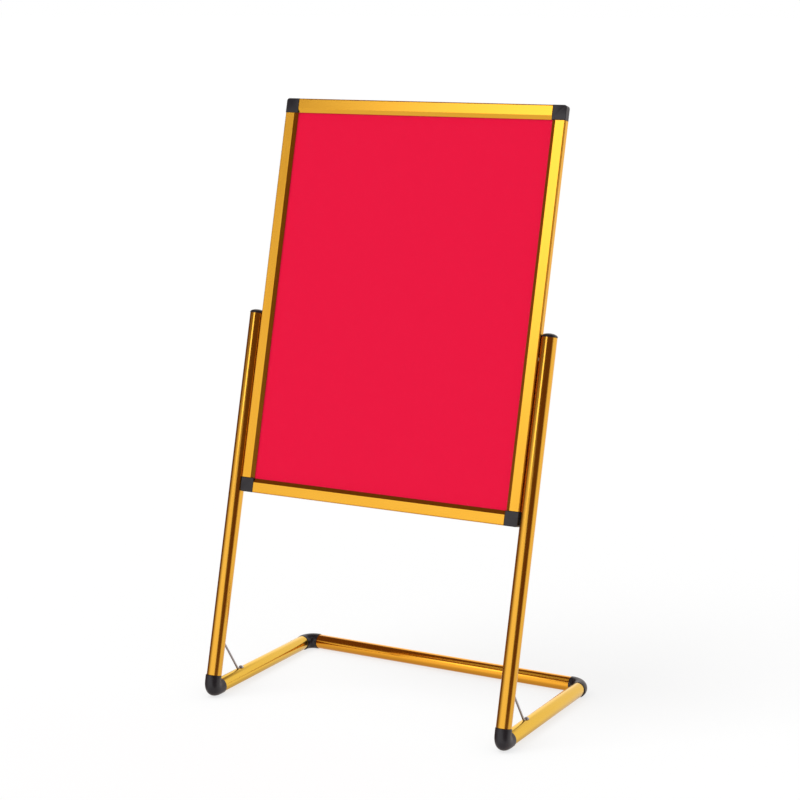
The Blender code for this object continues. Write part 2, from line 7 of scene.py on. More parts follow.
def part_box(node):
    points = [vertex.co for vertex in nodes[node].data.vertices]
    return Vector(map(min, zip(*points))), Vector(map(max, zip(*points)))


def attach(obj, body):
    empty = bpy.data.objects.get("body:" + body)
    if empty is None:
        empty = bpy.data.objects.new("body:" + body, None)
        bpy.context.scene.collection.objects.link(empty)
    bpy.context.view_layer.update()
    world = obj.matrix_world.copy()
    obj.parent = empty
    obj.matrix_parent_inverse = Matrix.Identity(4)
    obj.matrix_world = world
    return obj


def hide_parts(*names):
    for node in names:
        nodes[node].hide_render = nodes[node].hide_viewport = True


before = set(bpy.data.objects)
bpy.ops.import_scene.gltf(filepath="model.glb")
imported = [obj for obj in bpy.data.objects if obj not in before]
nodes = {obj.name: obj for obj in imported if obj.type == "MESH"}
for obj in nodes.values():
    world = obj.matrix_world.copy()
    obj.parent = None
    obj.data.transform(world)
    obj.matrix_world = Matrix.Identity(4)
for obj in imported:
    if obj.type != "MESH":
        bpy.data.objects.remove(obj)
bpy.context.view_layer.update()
print("frame loaded with", len(nodes), "nodes")


# places of the stand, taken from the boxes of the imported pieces
def boxOf(name):
    low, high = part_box(name)
    return Vector(low), Vector(high)


stand = {
    "lean": radians(14.6),      # posts and frame lean back
    "elbowArm": 0.030,          # foot corner to the end of a front elbow
    "rearArm": 0.027,           # the same at the back
    "gap": 0.0003,              # between pieces that touch
    "sides": 96,                # facets round a tube
}

leanUp = Vector((0, sin(stand["lean"]), cos(stand["lean"])))
leanBack = Vector((0, cos(stand["lean"]), -sin(stand["lean"])))
across, back, up = Vector((1, 0, 0)), Vector((0, 1, 0)), Vector((0, 0, 1))
sideLow, sideHigh = boxOf("right_base_tube")
tubeRadius = (sideHigh.x - sideLow.x) / 2
postX = (sideHigh.x + sideLow.x) / 2
axisHeight = (sideHigh.z + sideLow.z) / 2
frontY = sideLow.y - stand["elbowArm"] - stand["gap"]
rearY = sideHigh.y + stand["rearArm"] + stand["gap"]
print("tube radius", round(tubeRadius * 1000, 2), "mm, posts at", round(postX * 1000, 1), "mm")


def footCorner(side, y):
    return Vector((side * postX, y, axisHeight))


# making and handing over meshes
meshing = {
    "merge": 0.000002,          # points closer than this become one
    "longEdge": 0.02,           # longer edges split the shading where their two faces
    "flatRatio": 5,             # differ in area by more than this
    "sharp": 32,                # degrees from which an edge is shaded sharp
}


def finishMesh(name, bm, material, body, standsFor, sharp=meshing["sharp"], second=None):
    mesh = bpy.data.meshes.new(name)
    bmesh.ops.remove_doubles(bm, verts=bm.verts, dist=meshing["merge"])
    bmesh.ops.recalc_face_normals(bm, faces=bm.faces)
    bm.edges.index_update()
    # a long flat face keeps its own normal beside the narrow faces of a round edge
    flat = []
    for edge in bm.edges:
        areas = [face.calc_area() for face in edge.link_faces]
        uneven = len(areas) == 2 and max(areas) > meshing["flatRatio"] * min(areas)
        if uneven and edge.calc_length() > meshing["longEdge"]:
            flat.append(edge.index)
    bm.to_mesh(mesh)
    bm.free()
    mesh.shade_smooth()
    mesh.set_sharp_from_angle(angle=radians(sharp))
    for index in flat:
        mesh.edges[index].use_edge_sharp = True
    mesh.materials.append(material)
    if second:
        mesh.materials.append(second)
    piece = bpy.data.objects.new(name, mesh)
    bpy.context.scene.collection.objects.link(piece)
    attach(piece, body)
    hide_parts(*standsFor)
    return piece


def ringAt(place, travel, side, halfWidth, halfHeight=None):
    rise = travel.cross(side)
    matrix = Matrix.Identity(4)
    columns = (side * halfWidth, rise * (halfHeight or halfWidth), travel, place)
    for index, column in enumerate(columns):
        matrix.col[index][:3] = column
    return matrix


def pointsIn(made):
    return [item for item in made if isinstance(item, bmesh.types.BMVert)]


def loftRings(bm, rings, sides):
    # a filled circle carried from ring to ring leaves its skin behind
    made = bmesh.ops.create_circle(bm, cap_ends=True, segments=sides, radius=1, matrix=rings[0])
    face = made["verts"][0].link_faces[0]
    for here, there in zip(rings, rings[1:]):
        grown = bmesh.ops.extrude_face_region(bm, geom=[face, *face.edges, *face.verts])["geom"]
        face = next(item for item in grown if isinstance(item, bmesh.types.BMFace))
        bmesh.ops.transform(bm, matrix=there @ here.inverted(), verts=face.verts[:])
    return face


def aimed(place, direction):
    turned = Vector(direction).to_track_quat("Z", "Y").to_matrix().to_4x4()
    return Matrix.Translation(place) @ turned


def roundedStep(radius, level, soft, steps=4):
    # (radius, height) pairs that round the rim at the top of a turned form
    turns = [pi / 2 * step / steps for step in range(steps + 1)]
    return [(radius - soft * (1 - cos(turn)), level - soft * (1 - sin(turn))) for turn in turns]


# finishes
def newMaterial(name):
    material = bpy.data.materials.new(name)
    material.use_nodes = True
    tree = material.node_tree
    return material, tree, tree.nodes["Principled BSDF"]


def addNode(tree, kind, **values):
    node = tree.nodes.new(kind)
    for key, value in values.items():
        if hasattr(node, key):
            setattr(node, key, value)
        else:
            node.inputs[key.replace("_", " ")].default_value = value
    return node


def onObject(tree, turn=0.0, stretch=(1, 1, 1)):
    # object coordinates turned about the cross axis, then stretched
    place = addNode(tree, "ShaderNodeTexCoord")
    mapping = addNode(tree, "ShaderNodeMapping", vector_type="TEXTURE", Rotation=(-turn, 0, 0),
                      Scale=tuple(1 / share for share in stretch))
    tree.links.new(place.outputs["Object"], mapping.inputs["Vector"])
    return mapping.outputs["Vector"]


def noiseOn(tree, vector, scale, detail=3.0, distortion=0.0):
    noise = addNode(tree, "ShaderNodeTexNoise", Scale=scale, Detail=detail, Distortion=distortion)
    tree.links.new(vector, noise.inputs["Vector"])
    return noise.outputs["Fac"]


def rangeOf(tree, value, low, high, start=0.0, end=1.0):
    spread = addNode(tree, "ShaderNodeMapRange", From_Min=start, From_Max=end, To_Min=low,
                     To_Max=high)
    tree.links.new(value, spread.inputs["Value"])
    return spread.outputs["Result"]


def sumOf(tree, kind, first, second=None):
    node = addNode(tree, "ShaderNodeMath", operation=kind)
    for index, value in enumerate((first, second)):
        if isinstance(value, (int, float)):
            node.inputs[index].default_value = value
        elif value is not None:
            tree.links.new(value, node.inputs[index])
    return node.outputs[0]


def twoColours(tree, value, first, second, low=0.3, high=0.7):
    ramp = addNode(tree, "ShaderNodeValToRGB")
    ramp.color_ramp.elements[0].position = low
    ramp.color_ramp.elements[1].position = high
    ramp.color_ramp.elements[0].color = (*first, 1)
    ramp.color_ramp.elements[1].color = (*second, 1)
    tree.links.new(value, ramp.inputs["Fac"])
    return ramp.outputs["Color"]


def coated(tree, shader, colour, roughness):
    tree.links.new(colour, shader.inputs["Base Color"])
    tree.links.new(roughness, shader.inputs["Roughness"])


def bumped(tree, shader, height, strength, distance):
    bump = addNode(tree, "ShaderNodeBump", Strength=strength, Distance=distance)
    tree.links.new(height, bump.inputs["Height"])
    tree.links.new(bump.outputs["Normal"], shader.inputs["Normal"])


# anodised film of each tube and rail, where it is thin and where it is thick
gold = {
    "rails": ((0.93, 0.51, 0.055), (0.91, 0.48, 0.045)),
    "rear": ((0.93, 0.45, 0.045), (0.91, 0.42, 0.036)),
    "posts": ((0.90, 0.50, 0.064), (0.88, 0.47, 0.054)),
    "sides": ((0.87, 0.57, 0.084), (0.85, 0.54, 0.072)),
    "roughLow": 0.15, "roughHigh": 0.20,
    "duller": 0.40,                     # added on the covers' rolled edges
    "drawLines": 2600,                  # fine lines across, per metre
    "lineStretch": 0.01, "lineShare": 0.6,
    "lineHeight": 0.0000012, "lineStrength": 0.5,
    "wipe": 26, "wipeStretch": 0.3,     # faint cloudy wipe marks, per metre
    "detail": 4,
}


def makeGold(name, kind, turn, along, duller=0.0):
    # drawn, polished and anodised metal, its lines running along the piece
    material, tree, shader = newMaterial(name)

    def marks(stretch, scale):
        axes = [stretch if axis == along else 1 for axis in "XYZ"]
        return noiseOn(tree, onObject(tree, turn, axes), scale, gold["detail"])

    lines = marks(gold["lineStretch"], gold["drawLines"])
    cloud = marks(gold["wipeStretch"], gold["wipe"])
    both = sumOf(tree, "ADD", sumOf(tree, "MULTIPLY", lines, gold["lineShare"]),
                 sumOf(tree, "MULTIPLY", cloud, 1 - gold["lineShare"]))
    coated(tree, shader, twoColours(tree, cloud, *reversed(gold[kind])),
           rangeOf(tree, both, gold["roughLow"] + duller, gold["roughHigh"] + duller, 0.3, 0.7))
    shader.inputs["Metallic"].default_value = 1
    bumped(tree, shader, lines, gold["lineStrength"], gold["lineHeight"])
    return material


railAcross = makeGold("railAcross", "rails", 0, "X")
railLeaning = makeGold("railLeaning", "rails", stand["lean"], "Z")
rolledAcross = makeGold("rolledAcross", "rails", 0, "X", gold["duller"])
rolledLeaning = makeGold("rolledLeaning", "rails", stand["lean"], "Z", gold["duller"])
tubeAcross = makeGold("tubeAcross", "rear", 0, "X")
tubeBack = makeGold("tubeBack", "sides", 0, "Y")
tubeLeaning = makeGold("tubeLeaning", "posts", stand["lean"], "Z")

plastic = {
    "colour": (0.0085, 0.0080, 0.0125), "worn": (0.0145, 0.0140, 0.0190),
    "roughLow": 0.27, "roughHigh": 0.37,
    "shine": 0.5,
    "grain": 1900, "grainShare": 0.25,      # spark-eroded grain, per metre
    "patch": 60,
    "seamHeight": 0.00006, "seamWidth": 0.00022, "seamStrength": 0.6,
}


def makePlastic(name, seam=None):
    # moulded black plastic, with the fine seam of its two-part mould if asked
    material, tree, shader = newMaterial(name)
    grain = noiseOn(tree, onObject(tree), plastic["grain"], 3)
    patch = noiseOn(tree, onObject(tree), plastic["patch"], 4)
    coated(tree, shader, twoColours(tree, patch, plastic["colour"], plastic["worn"]),
           rangeOf(tree, patch, plastic["roughLow"], plastic["roughHigh"]))
    shader.inputs["Specular IOR Level"].default_value = plastic["shine"]
    height = sumOf(tree, "MULTIPLY", grain, plastic["grainShare"])
    if seam:
        place = addNode(tree, "ShaderNodeSeparateXYZ")
        tree.links.new(onObject(tree), place.inputs[0])
        axis, level = seam
        off = sumOf(tree, "SUBTRACT", sumOf(tree, "ABSOLUTE", place.outputs[axis]), level)
        line = rangeOf(tree, sumOf(tree, "ABSOLUTE", off), 1.0, 0.0, 0, plastic["seamWidth"])
        height = sumOf(tree, "ADD", height, line)
    bumped(tree, shader, height, plastic["seamStrength"], plastic["seamHeight"])
    return material


blackPlastic = makePlastic("blackPlastic")
frontElbowPlastic = makePlastic("frontElbowPlastic", ("X", postX))
rearElbowPlastic = makePlastic("rearElbowPlastic", ("Z", axisHeight))

steel = {
    "zinc": (0.58, 0.59, 0.62), "zincLow": 0.32, "zincHigh": 0.46,
    "spring": (0.36, 0.37, 0.42), "springLow": 0.22, "springHigh": 0.34,
    "patch": 260, "patchDarker": 0.8,       # dull patches, per metre
    "grain": 2600, "grainHeight": 0.000008,
}


def makeSteel(name, kind):
    # plated steel with dull patches and a fine crystal grain
    material, tree, shader = newMaterial(name)
    patch = noiseOn(tree, onObject(tree), steel["patch"], 5)
    grain = noiseOn(tree, onObject(tree), steel["grain"], 2)
    darker = tuple(share * steel["patchDarker"] for share in steel[kind])
    coated(tree, shader, twoColours(tree, patch, darker, steel[kind]),
           rangeOf(tree, grain, steel[kind + "Low"], steel[kind + "High"]))
    shader.inputs["Metallic"].default_value = 1
    bumped(tree, shader, grain, 0.3, steel["grainHeight"])
    return material


zincSteel = makeSteel("zincSteel", "zinc")
springSteel = makeSteel("springSteel", "spring")

sign = {
    "colour": (0.850, 0.0085, 0.0520), "shade": (0.834, 0.0080, 0.0500),
    "tooth": 900, "toothHeight": 0.00002,
    "roughLow": 0.62, "roughHigh": 0.74, "shine": 0.03,
}


def makeSheet():
    # plain red sheet with the faintest tooth of coated paper
    material, tree, shader = newMaterial("redSheet")
    tooth = noiseOn(tree, onObject(tree), sign["tooth"], 4)
    coated(tree, shader, twoColours(tree, tooth, sign["shade"], sign["colour"]),
           rangeOf(tree, tooth, sign["roughLow"], sign["roughHigh"]))
    shader.inputs["Specular IOR Level"].default_value = sign["shine"]
    bumped(tree, shader, tooth, 0.1, sign["toothHeight"])
    return material


clear = {
    "colour": (0.02, 0.02, 0.02), "haze": (0.03, 0.03, 0.03), "ripple": 30,
    "roughLow": 0.45, "roughHigh": 0.55, "cover": 0.02, "shine": 0.05,
}


def makeClear():
    # thin clear cover with a non-reflecting surface
    material, tree, shader = newMaterial("clearSheet")
    ripple = noiseOn(tree, onObject(tree), clear["ripple"])
    coated(tree, shader, twoColours(tree, ripple, clear["colour"], clear["haze"]),
           rangeOf(tree, ripple, clear["roughLow"], clear["roughHigh"]))
    shader.inputs["Alpha"].default_value = clear["cover"]
    shader.inputs["Specular IOR Level"].default_value = clear["shine"]
    return material


board = {
    "dark": (0.40, 0.40, 0.39), "pale": (0.54, 0.54, 0.52),
    "fibre": 420, "fibreStretch": 0.35, "fibreHeight": 0.00006,
    "roughLow": 0.6, "roughHigh": 0.8,
}


def makeBoard():
    # grey hardboard back with short fibres
    material, tree, shader = newMaterial("backBoard")
    place = onObject(tree, stand["lean"], (1, 1, board["fibreStretch"]))
    fibre = noiseOn(tree, place, board["fibre"], 6, 0.6)
    coated(tree, shader, twoColours(tree, fibre, board["dark"], board["pale"]),
           rangeOf(tree, fibre, board["roughLow"], board["roughHigh"]))
    bumped(tree, shader, fibre, 0.3, board["fibreHeight"])
    return material


washer = {
    "dark": (0.70, 0.69, 0.63), "pale": (0.80, 0.79, 0.74), "haze": 400,
    "roughLow": 0.4, "roughHigh": 0.5,
}


def makeNylon():
    # natural nylon, slightly hazy
    material, tree, shader = newMaterial("nylon")
    haze = noiseOn(tree, onObject(tree), washer["haze"])
    coated(tree, shader, twoColours(tree, haze, washer["dark"], washer["pale"]),
           rangeOf(tree, haze, washer["roughLow"], washer["roughHigh"]))
    return material


redSheet, clearSheet, backBoard, nylon = makeSheet(), makeClear(), makeBoard(), makeNylon()
print("finishes made")


def finishFor(name):
    if name.endswith("_front_elbow"):
        return frontElbowPlastic
    if name.endswith("_rear_elbow"):
        return rearElbowPlastic
    if name.endswith(("_corner", "_cap")):
        return blackPlastic
    if "_spring_" in name:
        return springSteel
    if name in ("sign_sheet", "clear_sheet", "backing_board"):
        return {"sign_sheet": redSheet, "clear_sheet": clearSheet, "backing_board": backBoard}[name]
    if name.endswith("_tilt_washer"):
        return nylon
    if name.endswith("_base_tube"):
        return tubeBack
    if name == "rear_cross_tube":
        return tubeAcross
    if name.endswith("_post"):
        return tubeLeaning
    if name.endswith(("_rail", "_cover")):
        return railAcross if name.startswith(("top", "bottom")) else railLeaning
    return zincSteel


for name, node in nodes.items():
    node.data.materials.clear()
    node.data.materials.append(finishFor(name))
print("finishes set on the packed pieces")


# tubes, fine enough to mirror the room without facets
tube = {"wall": 0.0012, "endRound": 0.0003, "endSteps": 3}


def smoothTube(name, start, end, material):
    direction = (end - start).normalized()
    side = across if abs(direction.x) < 0.5 else back
    bore, soft = tubeRadius - tube["wall"], tube["endRound"]
    length = (end - start).length
    far = roundedStep(tubeRadius, length, soft, tube["endSteps"])
    near = [(radius, length - level) for radius, level in reversed(far)]
    bm = bmesh.new()
    rings = []
    for radius, along in [(bore, 0), *near, *far, (bore, length)]:
        place = ringAt(start + direction * along, direction, side, radius)
        made = bmesh.ops.create_circle(bm, segments=stand["sides"], radius=1, matrix=place)
        rings.append(list({edge for vert in made["verts"] for edge in vert.link_edges}))
    for first, second in zip(rings, rings[1:] + rings[:1]):
        bmesh.ops.bridge_loops(bm, edges=first + second)
    return finishMesh(name + "_fine", bm, material, "stand", (name,))


def tubeEnds(name, direction):
    # the two end centres of a packed tube
    points = [vert.co for vert in nodes[name].data.vertices]
    heights = [point.dot(direction) for point in points]
    ends = []
    for level in (min(heights), max(heights)):
        rim = [point for point, height in zip(points, heights) if abs(height - level) < 0.00005]
        ends.append(sum(rim, Vector()) / len(rim))
    return ends


endsOf = {}
for name, direction in {"left_post": leanUp, "right_post": leanUp, "left_base_tube": back,
                        "right_base_tube": back, "rear_cross_tube": across}.items():
    endsOf[name] = tubeEnds(name, direction)
    smoothTube(name, *endsOf[name], finishFor(name))
print("tubes drawn")


# moulded elbows
elbow = {
    "step": 0.0010,             # stands out from the tubes by this
    "frontInside": 0.0010,      # inside radius of the tight front bend
    "toe": 0.0045,              # its outside stands past a round bend
    "collar": 0.0030,           # straight end of the wide rear bend
    "rim": 0.0008,              # rounding of the collar's rim
    "sharp": 40,
    "spigot": 0.024, "lead": 0.0015,
    "bendSteps": 32,
}
elbowRadius = tubeRadius + elbow["step"]
spigotRadius = tubeRadius - tube["wall"] - stand["gap"]


def makeElbow(name, corner, first, second, bendRadius, toe, arm, material):
    half = first.angle(second) / 2
    tangent = bendRadius / tan(half)
    turn = pi - 2 * half
    side = second.cross(first).normalized()
    centre = corner + (first + second).normalized() * bendRadius / sin(half)
    tip = arm + elbow["spigot"]
    endSteps = [(spigotRadius - elbow["lead"], tip), (spigotRadius, tip - elbow["lead"]),
                (spigotRadius, arm)]
    endSteps += reversed(roundedStep(elbowRadius, arm, elbow["rim"]))
    endSteps.append((elbowRadius, tangent))
    rings = [ringAt(corner + first * along, -first, side, radius) for radius, along in endSteps]
    for step in range(1, elbow["bendSteps"]):
        share = step / elbow["bendSteps"]
        turning = Matrix.Rotation(turn * share, 3, side)
        spoke = turning @ (corner + first * tangent - centre)
        swell = toe / 2 * sin(pi * share) ** 2
        rings.append(ringAt(centre + spoke + spoke.normalized() * swell, turning @ -first, side,
                            elbowRadius, elbowRadius + swell))
    rings += [ringAt(corner + second * along, second, side, radius)
              for radius, along in reversed(endSteps)]
    bm = bmesh.new()
    loftRings(bm, rings, stand["sides"])
    # the foot is ground flat where it rests on the floor
    cut = bmesh.ops.bisect_plane(bm, geom=bm.verts[:] + bm.edges[:] + bm.faces[:], dist=0.000001,
                                 plane_co=(0, 0, 0), plane_no=(0, 0, 1), clear_inner=True)
    rim = [item for item in cut["geom_cut"] if isinstance(item, bmesh.types.BMEdge)]
    bmesh.ops.contextual_create(bm, geom=rim)
    return finishMesh(name + "_moulded", bm, material, "stand", (name,),
                      elbow["sharp"])


for word, side in (("left", -1), ("right", 1)):
    makeElbow(word + "_front_elbow", footCorner(side, frontY), leanUp, back,
              elbowRadius + elbow["frontInside"], elbow["toe"], stand["elbowArm"],
              frontElbowPlastic)
    makeElbow(word + "_rear_elbow", footCorner(side, rearY), -back, across * -side,
              stand["rearArm"] - elbow["collar"], 0, stand["rearArm"], rearElbowPlastic)
print("elbows moulded")


# post caps
cap = {
    "step": 0.0005, "rim": 0.0006, "edge": 0.0002, "dome": 0.0068, "plug": 0.016,
    "domeTurn": radians(84), "domeSteps": 14,
}


def makeCap(name, top):
    radius, gap = tubeRadius + cap["step"], stand["gap"]
    steps = [(spigotRadius - elbow["lead"], -cap["plug"]),
             (spigotRadius, elbow["lead"] - cap["plug"]), (spigotRadius, gap),
             (radius - cap["edge"], gap), (radius, gap + cap["edge"])]
    for step in range(cap["domeSteps"]):
        angle = cap["domeTurn"] * step / (cap["domeSteps"] - 1)
        steps.append((radius * cos(angle), gap + cap["rim"] + cap["dome"] * sin(angle)))
    bm = bmesh.new()
    rings = [ringAt(top + leanUp * height, leanUp, across, radius) for radius, height in steps]
    loftRings(bm, rings, stand["sides"])
    return finishMesh(name + "_domed", bm, blackPlastic, "stand", (name,),
                      elbow["sharp"])


for word in ("left", "right"):
    makeCap(word + "_post_cap", endsOf[word + "_post"][1])
print("post caps set")


# rails and covers, drawn again with round beads and soft edges
rail = {
    "width": 0.0283, "depth": 0.0145,
    "face": 0.0206,             # flat of the cover, outside its bevelled lip
    "lipDepth": 0.0040, "lipFoot": 0.0020,
    "skin": 0.0014,
    "curl": 0.0024, "curlWall": 0.0010, "bead": 0.00105, "neck": 0.0008,
    "curlStart": radians(-25), "neckAngle": radians(-55),
    "ribAcross": 0.0088, "ribLength": 0.0014,
    "floor": 0.0054, "stopAcross": 0.0186, "stopDepth": 0.0034,
    "ledgeDepth": 0.0095, "ledgeReach": 0.0074,
    "slotStart": 0.0060, "slotWidth": 0.0080,
    "soft": 0.00020,            # rounding of the long edges
    "softFrom": radians(24), "sharp": 30,
    "arcSteps": 14,
}


def penTo(bm, last, acrossRail, depth):
    vert = bm.verts.new((0, depth, acrossRail))
    if last:
        bm.edges.new((last, vert))
    return vert


def penArc(bm, last, acrossRail, depth, angle, steps):
    # swings the pen's last point round a centre and keeps its track
    made = bmesh.ops.spin(bm, geom=[last], cent=(0, depth, acrossRail), axis=(1, 0, 0),
                          dvec=(0, 0, 0), angle=angle, steps=steps)["geom_last"]
    return pointsIn(made)[0]


def drawSection(bm, run, soft):
    # closes the outline, carries it along the rail and softens its long edges
    face = bmesh.ops.contextual_create(bm, geom=bm.edges[:])["faces"][0]
    bmesh.ops.translate(bm, vec=(-run / 2, 0, 0), verts=bm.verts)
    grown = bmesh.ops.extrude_face_region(bm, geom=[face])["geom"]
    bmesh.ops.translate(bm, vec=(run, 0, 0), verts=pointsIn(grown))
    bmesh.ops.recalc_face_normals(bm, faces=bm.faces)
    longEdges = [edge for edge in bm.edges if abs((edge.verts[0].co - edge.verts[1].co).x) > run / 2
                 and edge.calc_face_angle(0) > rail["softFrom"]]
    bmesh.ops.bevel(bm, geom=longEdges, offset=soft, segments=2, profile=0.5, affect="EDGES",
                    clamp_overlap=True, material=-1)


def drawRail(run):
    # the fixed rail: wall, hinge bead on its neck, floor, stop, ledge and slotted back
    bm = bmesh.new()
    curl, skin, floorDepth = rail["curl"], rail["skin"], rail["floor"]
    sweep = curl + stand["gap"]
    chamberFront, chamberBack = floorDepth + skin, rail["depth"] - skin
    inner = rail["stopAcross"] - skin
    opening = asin(rail["neck"] / 2 / rail["bead"])
    neckRun = (floorDepth - curl) / tan(-rail["neckAngle"])
    neckFoot = rail["neck"] / 2 / sin(-rail["neckAngle"])
    first = pen = penTo(bm, None, 0, rail["depth"])
    pen = penTo(bm, pen, 0, curl + sqrt(sweep ** 2 - curl ** 2))
    pen = penTo(bm, pen, skin, curl + sqrt(sweep ** 2 - (curl - skin) ** 2))
    pen = penTo(bm, pen, skin, floorDepth)
    pen = penTo(bm, pen, curl + neckRun - neckFoot, floorDepth)
    angle = rail["neckAngle"] - opening
    pen = penTo(bm, pen, curl + rail["bead"] * cos(angle), curl - rail["bead"] * sin(angle))
    pen = penArc(bm, pen, curl, curl, -2 * (pi - opening), 2 * rail["arcSteps"])
    for acrossRail, depth in (
            (curl + neckRun + neckFoot, floorDepth), (inner, floorDepth),
            (inner, rail["stopDepth"]),
            (rail["stopAcross"], rail["stopDepth"]), (rail["stopAcross"], rail["ledgeDepth"]),
            (rail["stopAcross"] + rail["ledgeReach"], rail["ledgeDepth"]),
            (rail["stopAcross"] + rail["ledgeReach"], rail["ledgeDepth"] + skin),
            (rail["stopAcross"], rail["ledgeDepth"] + skin), (rail["stopAcross"], rail["depth"]),
            (rail["slotStart"] + rail["slotWidth"], rail["depth"]),
            (rail["slotStart"] + rail["slotWidth"], chamberBack),
            (inner, chamberBack), (inner, chamberFront), (skin, chamberFront), (skin, chamberBack),
            (rail["slotStart"], chamberBack), (rail["slotStart"], rail["depth"])):
        pen = penTo(bm, pen, acrossRail, depth)
    bm.edges.new((pen, first))
    drawSection(bm, run, rail["soft"])
    return bm


def drawCover(run):
    # the opening rail: hinge curl, flat face, bevelled lip and the rib for the springs
    bm = bmesh.new()
    curl, skin, start = rail["curl"], rail["skin"], rail["curlStart"]
    bore = curl - rail["curlWall"]
    meet = asin((curl - skin) / curl)
    lipRun = (rail["width"] - rail["face"]) / rail["lipDepth"]
    underEdge = rail["width"] - rail["lipFoot"] - lipRun * (rail["lipDepth"] - skin)
    first = pen = penTo(bm, None, -curl, 0)
    pen = penArc(bm, pen, 0, 0, -pi / 2, rail["arcSteps"])
    for acrossRail, depth in (
            (rail["face"], 0), (rail["width"], rail["lipDepth"]),
            (rail["width"] - rail["lipFoot"], rail["lipDepth"]), (underEdge, skin),
            (rail["ribAcross"] + skin, skin), (rail["ribAcross"] + skin, skin + rail["ribLength"]),
            (rail["ribAcross"], skin + rail["ribLength"]), (rail["ribAcross"], skin),
            (curl + curl * cos(meet), curl - curl * sin(meet))):
        pen = penTo(bm, pen, acrossRail - curl, depth - curl)
    pen = penArc(bm, pen, 0, 0, start - meet, rail["arcSteps"] // 2)
    pen = penTo(bm, pen, bore * cos(start), -bore * sin(start))
    pen = penArc(bm, pen, 0, 0, pi - start, 2 * rail["arcSteps"])
    bm.edges.new((pen, first))
    drawSection(bm, run, rail["soft"])
    # the rolled edge is duller than the polished face
    bm.normal_update()
    for face in bm.faces:
        if face.normal.y < -0.1 and face.normal.z < -0.1:
            face.material_index = 1
    return bm


frameSize = {
    "width": 0.620, "height": 0.798,
    "raise": 0.405,             # foot corner to the frame's lower edge, along the lean
    "corner": 0.029,
    "boltDepth": 0.0099,        # front face to the tilt bolts
}
middle = footCorner(0, frontY) + leanUp * (frameSize["raise"] + frameSize["height"] / 2)
facing = (Matrix.Translation(middle) @ Matrix.Rotation(-stand["lean"], 4, "X")
          @ Matrix.Translation((0, -frameSize["boltDepth"], 0)))
railSides = {
    "bottom": (0, frameSize["width"], frameSize["height"]),
    "right": (-pi / 2, frameSize["height"], frameSize["width"]),
    "top": (pi, frameSize["width"], frameSize["height"]),
    "left": (pi / 2, frameSize["height"], frameSize["width"]),
}
for word, (angle, length, breadth) in railSides.items():
    edge = facing @ Matrix.Rotation(angle, 4, "Y") @ Matrix.Translation((0, 0, -breadth / 2))
    run = length - 2 * (frameSize["corner"] + stand["gap"])
    bm = drawRail(run)
    bm.transform(edge)
    part = word + "_rail"
    finishMesh(part + "_drawn", bm, finishFor(part), "poster_frame", (part,),
               rail["sharp"])
    bm = drawCover(run)
    bm.transform(edge @ Matrix.Translation((0, rail["curl"], rail["curl"])))
    part = word + "_cover"
    finishMesh(part + "_drawn", bm, finishFor(part), part, (part,),
               rail["sharp"], rolledAcross if word in ("top", "bottom") else rolledLeaning)
print("rails and covers drawn")


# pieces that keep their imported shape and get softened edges
soften = {
    "corner": 0.00035, "spring": 0.00008, "sheet": 0.00012, "board": 0.0003, "washer": 0.00010,
    "from": radians(40),
}


def softened(name, body, width, segments=2):
    bm = bmesh.new()
    bm.from_mesh(nodes[name].data)
    bmesh.ops.remove_doubles(bm, verts=bm.verts, dist=meshing["merge"])
    bmesh.ops.dissolve_limit(bm, angle_limit=radians(1), verts=bm.verts, edges=bm.edges)
    piece = finishMesh(name + "_soft", bm, finishFor(name), body, (name,))
    edges = piece.modifiers.new("softEdges", "BEVEL")
    edges.limit_method = "ANGLE"
    edges.angle_limit = soften["from"]
    edges.width = width
    edges.segments = segments
    edges.use_clamp_overlap = True
    edges.harden_normals = True
    return piece


for word in ("lower_left", "lower_right", "upper_left", "upper_right"):
    softened(word + "_corner", "poster_frame", soften["corner"], 3)
softened("backing_board", "poster_frame", soften["board"])
softened("sign_sheet", "poster_frame", soften["sheet"])
softened("clear_sheet", "poster_frame", soften["sheet"])
for word in railSides:
    for number in "12":
        softened(word + "_spring_" + number, "poster_frame", soften["spring"])
for word in ("left", "right"):
    softened(word + "_tilt_washer", "stand", soften["washer"])
    softened(word + "_post_insert", "stand", soften["washer"])
print("corners, sheets, springs, washers and inserts softened")


# stays: round rods pressed flat at both ends
stay = {
    "foot": 0.105, "head": 0.112,       # foot corner to the two screws
    "radius": 0.00225,
    "padHalfLength": 0.0065, "padHalfWidth": 0.0050, "padHalfThick": 0.0008,
    "padTip": 0.0012, "neck": 0.0045, "sharp": 50,
    "sides": 32, "padSteps": 8, "neckSteps": 6,
}


def padRings(centre, travel, flip):
    # a pad with round ends; flip is 1 where its neck comes after it
    made = []
    for step in range(stay["padSteps"] + 1):
        share = -cos(pi * step / stay["padSteps"])
        least = stay["radius"] if share * flip > 0 else stay["padTip"]
        width = max(least, stay["padHalfWidth"] * sqrt(max(0, 1 - share ** 4)))
        made.append(ringAt(centre + travel * stay["padHalfLength"] * share, travel, across, width,
                           stay["padHalfThick"]))
    return made


def neckRings(start, bend, end, thickFirst, thickLast):
    # a bend between pad and rod that changes from flat to round
    made = []
    for step in range(stay["neckSteps"] + 1):
        share = step / stay["neckSteps"]
        place = start * (1 - share) ** 2 + bend * 2 * share * (1 - share) + end * share ** 2
        travel = ((bend - start) * (1 - share) + (end - bend) * share).normalized()
        thick = thickFirst + (thickLast - thickFirst) * (1 - cos(pi * share)) / 2
        made.append(ringAt(place, travel, across, stay["radius"], thick))
    return made


